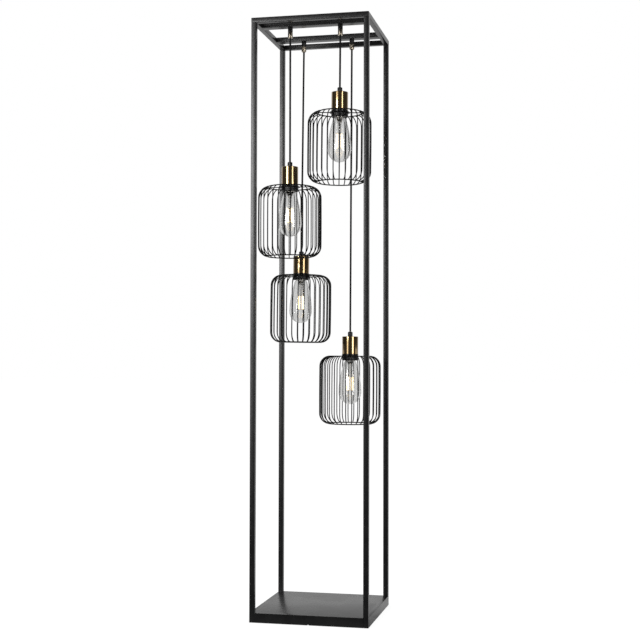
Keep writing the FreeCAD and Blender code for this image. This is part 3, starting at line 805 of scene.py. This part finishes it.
def brass_cover(name, place):
    """The spun cup over the lampholder, with a hole for the cap's stem."""
    under = COVER_TOP - COVER_SHEET_THICKNESS
    profile = [
        (COVER_INNER_RADIUS, COVER_BOTTOM),
        (COVER_RADIUS, COVER_BOTTOM),
        (COVER_RADIUS, COVER_TOP),
        (COVER_HOLE_RADIUS, COVER_TOP),
        (COVER_HOLE_RADIUS, under),
        (COVER_INNER_RADIUS, under),
    ]
    mesh = turned(profile, round_by=1.4, sides=96, steps=5)
    pendant_piece("brass_cover", name, mesh, BRASS, place)


def cord_cap(name, place):
    """The cap where the cord goes in, with its stem through the cover."""
    socket = CAP_TOP - CAP_SOCKET_DEPTH
    profile = [
        (0, CAP_STEM_BOTTOM),
        (CAP_STEM_RADIUS, CAP_STEM_BOTTOM),
        (CAP_STEM_RADIUS, COVER_TOP),
        (CAP_RADIUS, COVER_TOP),
        (CAP_RADIUS, CAP_TOP - CAP_SLOPE_HEIGHT),
        (CAP_TOP_RADIUS, CAP_TOP),
        (CORD_HOLE_RADIUS, CAP_TOP),
        (CORD_HOLE_RADIUS, socket),
        (0, socket),
    ]
    mesh = turned(profile, round_by=0.6, sides=48)
    pendant_piece("cord_cap", name, mesh, BLACK_PLASTIC, place)


def lampholder(name, place):
    """The holder: its body in the cover, its flange, and its skirt through the hub."""
    profile = [
        (HOLDER_BORE_RADIUS, -SKIRT_DEPTH),
        (SKIRT_RADIUS, -SKIRT_DEPTH),
        (SKIRT_RADIUS, 0),
        (FLANGE_RADIUS, 0),
        (FLANGE_RADIUS, COVER_BOTTOM),
        (HOLDER_RADIUS, COVER_BOTTOM),
        (HOLDER_RADIUS, HOLDER_TOP),
        (0, HOLDER_TOP),
        (0, HOLDER_BORE_TOP),
        (HOLDER_BORE_RADIUS, HOLDER_BORE_TOP),
    ]
    pendant_piece("lampholder", name, turned(profile, round_by=0.6), BLACK_PLASTIC, place)


def shade_ring(name, place):
    """The ribbed ring that holds the shade's hub to the holder."""
    top = -HUB_THICKNESS
    profile = [
        (SHADE_RING_BORE, SHADE_RING_BOTTOM),
        (SHADE_RING_FOOT_RADIUS, SHADE_RING_BOTTOM),
        (SHADE_RING_RADIUS, SHADE_RING_BOTTOM + SHADE_RING_FOOT_HEIGHT),
        (SHADE_RING_RADIUS, top - SHADE_RING_TOP_HEIGHT),
        (SHADE_RING_TOP_RADIUS, top),
        (SHADE_RING_BORE, top),
    ]

    def ribs(angle, r, z):
        ribbed = SHADE_RING_BOTTOM + RIB_FOOT_MARGIN < z < top - RIB_TOP_MARGIN
        groove = (0.5 + 0.5 * math.cos(RIB_COUNT * angle)) ** 3
        return -RIB_DEPTH * groove if ribbed and r > SHADE_RING_TOP_RADIUS else 0

    mesh = turned(profile, round_by=0.8, sides=192, wobble=ribs)
    pendant_piece("shade_ring", name, mesh, BLACK_PLASTIC, place)


def glass_line():
    """The bulb's outline in millimetres, from its rim to its end."""
    line = [(r, BULB_RIM - depth) for r, depth in GLASS_SHOULDER]
    for k in range(1, GLASS_STEPS + 1):
        t = k / GLASS_STEPS
        radius = NECK_RADIUS + GLASS_SWELL * math.sin(math.pi / 2 * t)
        line.append((radius, NECK_BOTTOM + (GLASS_WIDEST - NECK_BOTTOM) * t))
    widest = NECK_RADIUS + GLASS_SWELL
    for k in range(1, GLASS_STEPS + 1):
        a = math.pi / 2 * k / GLASS_STEPS
        line.append((widest * math.cos(a), GLASS_WIDEST + (GLASS_END - GLASS_WIDEST) * math.sin(a)))
    line[-1] = (0, GLASS_END)
    return line


def bulb_glass(name, place):
    """The glass, with its wall's thickness, open at the rim that the cap closes."""
    outside = glass_line()
    inside = [(max(r - GLASS_WALL, 0), z + (GLASS_WALL if z < GLASS_WIDEST else 0)) for r, z in outside]
    mesh = bmesh.new()
    lathe(mesh, outside + inside[::-1])
    finish_piece("dressed_bulb_glass_" + name, mesh, GLASS, "bulb_" + name,
                 ["bulb_glass_" + name], smooth=60, place=place)


def bulb_cap(name, place):
    """The screw cap with its contact. It stands for the whole CAD base, with the stem and the filaments."""
    profile = [
        (0, BULB_RIM),
        (BULB_CAP_RADIUS, BULB_RIM),
        (BULB_CAP_RADIUS, BULB_THREAD_TOP),
        (BULB_CONTACT_RADIUS, BULB_CONTACT_LOW),
        (BULB_CONTACT_RADIUS, BULB_TOP),
        (0, BULB_TOP),
    ]
    mesh = turned(profile, round_by=0.6, sides=48)
    finish_piece("dressed_bulb_cap_" + name, mesh, CAP_METAL, "bulb_" + name,
                 ["bulb_base_" + name], place=place)


def bulb_stem(name, place):
    """The flared glass stem, pinched above the filaments."""
    profile = [(r, BULB_RIM - depth) for r, depth in STEM_FLARE]
    profile += [(r, FILAMENT_TOP + height) for r, height in STEM_PINCH]
    mesh = turned(profile, round_by=1.5, sides=32)
    finish_piece("bulb_stem_" + name, mesh, STEM_GLASS, "bulb_" + name, [], smooth=60,
                 place=place)


def filaments(name, place):
    """The lit filaments, and the rod and bent arms that carry them."""
    mesh = bmesh.new()
    arms = bmesh.new()
    for k in range(FILAMENT_COUNT):
        a = 2 * math.pi * k / FILAMENT_COUNT + math.radians(FILAMENT_TURN)
        out = Vector((math.cos(a), math.sin(a), 0))
        top = out * FILAMENT_CIRCLE + Vector((0, 0, FILAMENT_TOP))
        foot = out * FILAMENT_CIRCLE + Vector((0, 0, FILAMENT_FOOT))
        hook = Vector((0, 0, ARM_HOOK))
        upper_start = out * ARM_START + Vector((0, 0, FILAMENT_TOP + ARM_ABOVE_TOP))
        lower_start = out * ARM_START + Vector((0, 0, FILAMENT_FOOT - ARM_BELOW_FOOT))
        tube(mesh, [top, top + (foot - top) * 0.5, foot], FILAMENT_RADIUS, sides=12)
        tube(arms, [upper_start, top + hook, top], ARM_RADIUS, sides=6)
        tube(arms, [lower_start, foot - hook, foot], ARM_RADIUS, sides=6)
    bmesh.ops.recalc_face_normals(mesh, faces=mesh.faces)
    rod_top = FILAMENT_TOP + ROD_ABOVE_TOP
    rod_foot = FILAMENT_FOOT - ROD_BELOW_FOOT
    lathe(arms, [(0, rod_top), (ROD_RADIUS, rod_top), (ROD_RADIUS, rod_foot), (0, rod_foot)], sides=12)
    bmesh.ops.recalc_face_normals(arms, faces=arms.faces)
    finish_piece("bulb_filaments_" + name, mesh, FILAMENT, "bulb_" + name, [], place=place)
    finish_piece("bulb_arms_" + name, arms, CAP_METAL, "bulb_" + name, [], place=place)


def grip_collar():
    """The fixed half of a cord grip, with heights from the nut's nose."""
    base = NUT_LENGTH + GRIP_GAP
    bottom = base - GRIP_STEM_LENGTH
    top = base + GRIP_HEIGHT
    profile = [
        (CORD_HOLE_RADIUS, bottom),
        (GRIP_STEM_RADIUS, bottom),
        (GRIP_STEM_RADIUS, base),
        (NUT_RADIUS, base),
        (NUT_RADIUS, top),
        (CORD_HOLE_RADIUS, top),
    ]
    return turned(profile, round_by=0.5)


def grip_nut(name, outlet):
    """The nut that closes a cord grip, with its nose down."""
    profile = [
        (CORD_HOLE_RADIUS, 0),
        (NUT_NOSE_RADIUS, 0),
        (NUT_RADIUS, NUT_NOSE_HEIGHT),
        (NUT_RADIUS, NUT_LENGTH),
        (NUT_BORE_RADIUS, NUT_LENGTH),
        (NUT_BORE_RADIUS, NUT_BORE_BOTTOM),
        (CORD_HOLE_RADIUS, NUT_BORE_BOTTOM),
    ]
    mesh = turned(profile, round_by=0.5)
    finish_piece("dressed_grip_nut_" + name, mesh, NUT_METAL, "nut_" + name, ["grip_nut_" + name],
                 place=Matrix.Translation(outlet))


def cord(name, top, bottom):
    """The straight cord, from just under the nut's nose to just above the cap."""
    last = 3
    curve = bpy.data.curves.new("dressed_cord_" + name, "CURVE")
    curve.dimensions = "3D"
    curve.bevel_depth = CORD_DIAMETER / 2
    curve.bevel_resolution = 4
    curve.use_fill_caps = True
    spline = curve.splines.new("NURBS")
    spline.points.add(last)
    for k, point in enumerate(spline.points):
        point.co = (*(top + (bottom - top) * (k / last)), 1)
    spline.order_u = 3
    spline.use_endpoint_u = True
    spline.resolution_u = 12
    piece = bpy.data.objects.new("dressed_cord_" + name, curve)
    bpy.context.scene.collection.objects.link(piece)
    curve.materials.append(CORD_BLACK)
    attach(piece, "cord_" + name)
    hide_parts("cord_" + name)


grips = bmesh.new()
for name, turn in PENDANT_TURN.items():
    outlet = Vector(joint("swing_" + name)["pos_m"])
    cap_top = Vector(joint("twist_" + name)["pos_m"])
    up = Vector(joint("twist_" + name)["axis"]).normalized()
    lean = Vector((0, 0, 1)).rotation_difference(up).to_matrix().to_4x4()
    place = Matrix.Translation(cap_top) @ lean @ Matrix.Translation((0, 0, -CAP_TOP * MM))
    place = place @ Matrix.Rotation(math.radians(turn), 4, "Z")
    shade_wires(name, place)
    shade_rings(name, place)
    brass_cover(name, place)
    cord_cap(name, place)
    lampholder(name, place)
    shade_ring(name, place)
    bulb_glass(name, place)
    bulb_cap(name, place)
    bulb_stem(name, place)
    filaments(name, place)
    grip_nut(name, outlet)
    cord(name, outlet - up * CORD_CLEARANCE, cap_top + up * CORD_CAP_GAP)
    join(grips, grip_collar(), Matrix.Translation(outlet))
finish_piece("dressed_cord_grips", grips, BLACK_PLASTIC, "frame", ["cord_grips"])


# Floor, light and camera


def add_math(nodes, links, kind, *values):
    """A math node over sockets or plain numbers."""
    node = nodes.new("ShaderNodeMath")
    node.operation = kind
    for k, value in enumerate(values):
        if isinstance(value, (int, float)):
            node.inputs[k].default_value = value
        else:
            links.new(value, node.inputs[k])
    return node.outputs[0]


def blend_values(nodes, links, factor, low, high):
    """low where factor is 0, high where it is 1; either may be a socket."""
    node = nodes.new("ShaderNodeMix")
    node.data_type = "FLOAT"
    links.new(factor, node.inputs["Factor"])
    for key, value in (("A", low), ("B", high)):
        if isinstance(value, (int, float)):
            node.inputs[key].default_value = value
        else:
            links.new(value, node.inputs[key])
    return node.outputs["Result"]


def floor():
    """A wide white floor. Gloss sees it pale behind the lamp and dark in front of it."""
    mesh = bmesh.new()
    bmesh.ops.create_grid(mesh, x_segments=1, y_segments=1, size=FLOOR_REACH)
    data = bpy.data.meshes.new("floor")
    mesh.to_mesh(data)
    mesh.free()
    made = bpy.data.materials.new("floor")
    made.use_nodes = True
    nodes = made.node_tree.nodes
    links = made.node_tree.links
    nodes.remove(nodes["Principled BSDF"])
    path = nodes.new("ShaderNodeLightPath")
    place = nodes.new("ShaderNodeNewGeometry")
    split = nodes.new("ShaderNodeSeparateXYZ")
    links.new(place.outputs["Position"], split.inputs[0])
    behind = nodes.new("ShaderNodeMapRange")
    behind.inputs["From Min"].default_value = FLOOR_DARK_FROM
    behind.inputs["From Max"].default_value = FLOOR_WHITE_FROM
    behind.inputs["To Min"].default_value = FRONT_GLOSS
    behind.inputs["To Max"].default_value = BACK_GLOSS
    links.new(split.outputs["Y"], behind.inputs["Value"])
    glossy = path.outputs["Is Glossy Ray"]
    camera_ray = path.outputs["Is Camera Ray"]
    camera_or_through = add_math(nodes, links, "MAXIMUM", camera_ray, path.outputs["Is Transmission Ray"])
    glow = blend_values(nodes, links, camera_or_through, 0.0, FLOOR_GLOW)
    glow = blend_values(nodes, links, glossy, glow, behind.outputs["Result"])
    light = nodes.new("ShaderNodeEmission")
    links.new(glow, light.inputs["Strength"])
    shade = blend_values(nodes, links, camera_or_through, FLOOR_BOUNCE, FLOOR_SHADOW)
    shade = blend_values(nodes, links, glossy, shade, 0.0)
    white = nodes.new("ShaderNodeBsdfDiffuse")
    links.new(shade, white.inputs["Color"])
    total = nodes.new("ShaderNodeAddShader")
    links.new(white.outputs[0], total.inputs[0])
    links.new(light.outputs[0], total.inputs[1])
    links.new(total.outputs[0], nodes["Material Output"].inputs["Surface"])
    data.materials.append(made)
    plane = bpy.data.objects.new("floor", data)
    bpy.context.scene.collection.objects.link(plane)


def world():
    """A white studio. Gloss sees a pale back, and a dark front and sides."""
    made = bpy.data.worlds.new("studio")
    bpy.context.scene.world = made
    made.use_nodes = True
    nodes = made.node_tree.nodes
    links = made.node_tree.links
    path = nodes.new("ShaderNodeLightPath")
    place = nodes.new("ShaderNodeTexCoord")
    facing = nodes.new("ShaderNodeVectorMath")
    facing.operation = "DOT_PRODUCT"
    front = math.radians(DARK_CENTRE)
    facing.inputs[1].default_value = (math.sin(front), -math.cos(front), 0)
    links.new(place.outputs["Generated"], facing.inputs[0])
    dark = nodes.new("ShaderNodeMapRange")
    dark.inputs["From Min"].default_value = math.cos(math.radians(DARK_HALF_ANGLE + DARK_EDGE))
    dark.inputs["From Max"].default_value = math.cos(math.radians(DARK_HALF_ANGLE - DARK_EDGE))
    dark.inputs["To Min"].default_value = BACK_GLOSS
    dark.inputs["To Max"].default_value = FRONT_GLOSS
    links.new(facing.outputs["Value"], dark.inputs["Value"])
    camera_ray = path.outputs["Is Camera Ray"]
    seen = add_math(nodes, links, "MAXIMUM", camera_ray, path.outputs["Is Transmission Ray"])
    strength = blend_values(nodes, links, seen, WORLD_LIGHT, 1.0)
    strength = blend_values(nodes, links, path.outputs["Is Glossy Ray"], strength, dark.outputs["Result"])
    background = nodes["Background"]
    background.inputs["Color"].default_value = (1, 1, 1, 1)
    links.new(strength, background.inputs["Strength"])


def soft_box(name, angle, distance, low, high, width, brightness):
    """An upright area light that faces the lamp, with its bearing in degrees from straight in front."""
    light = bpy.data.lights.new(name, "AREA")
    light.shape = "RECTANGLE"
    light.size = width
    light.size_y = high - low
    light.energy = brightness * math.pi * width * (high - low)
    lamp = bpy.data.objects.new(name, light)
    a = math.radians(angle)
    lamp.location = (distance * math.sin(a), -distance * math.cos(a), (low + high) / 2)
    lamp.rotation_euler = (math.radians(90), 0, a)
    lamp.visible_camera = False
    bpy.context.scene.collection.objects.link(lamp)


def camera():
    """The photograph's viewpoint."""
    data = bpy.data.cameras.new("camera")
    data.lens = CAMERA_LENS
    data.sensor_width = SENSOR_WIDTH
    data.sensor_fit = "HORIZONTAL"
    data.clip_end = CAMERA_REACH
    made = bpy.data.objects.new("camera", data)
    turn = Matrix.Rotation(math.radians(CAMERA_YAW), 4, "Z")
    tilt = Matrix.Rotation(math.radians(90 + CAMERA_PITCH), 4, "X")
    roll = Matrix.Rotation(math.radians(CAMERA_ROLL), 4, "Z")
    made.matrix_world = Matrix.Translation(CAMERA_PLACE) @ turn @ tilt @ roll
    bpy.context.scene.collection.objects.link(made)
    bpy.context.scene.camera = made


floor()
world()
for name, box in SOFT_BOXES.items():
    soft_box(name, *box)
camera()
bpy.context.scene.view_settings.view_transform = "Standard"
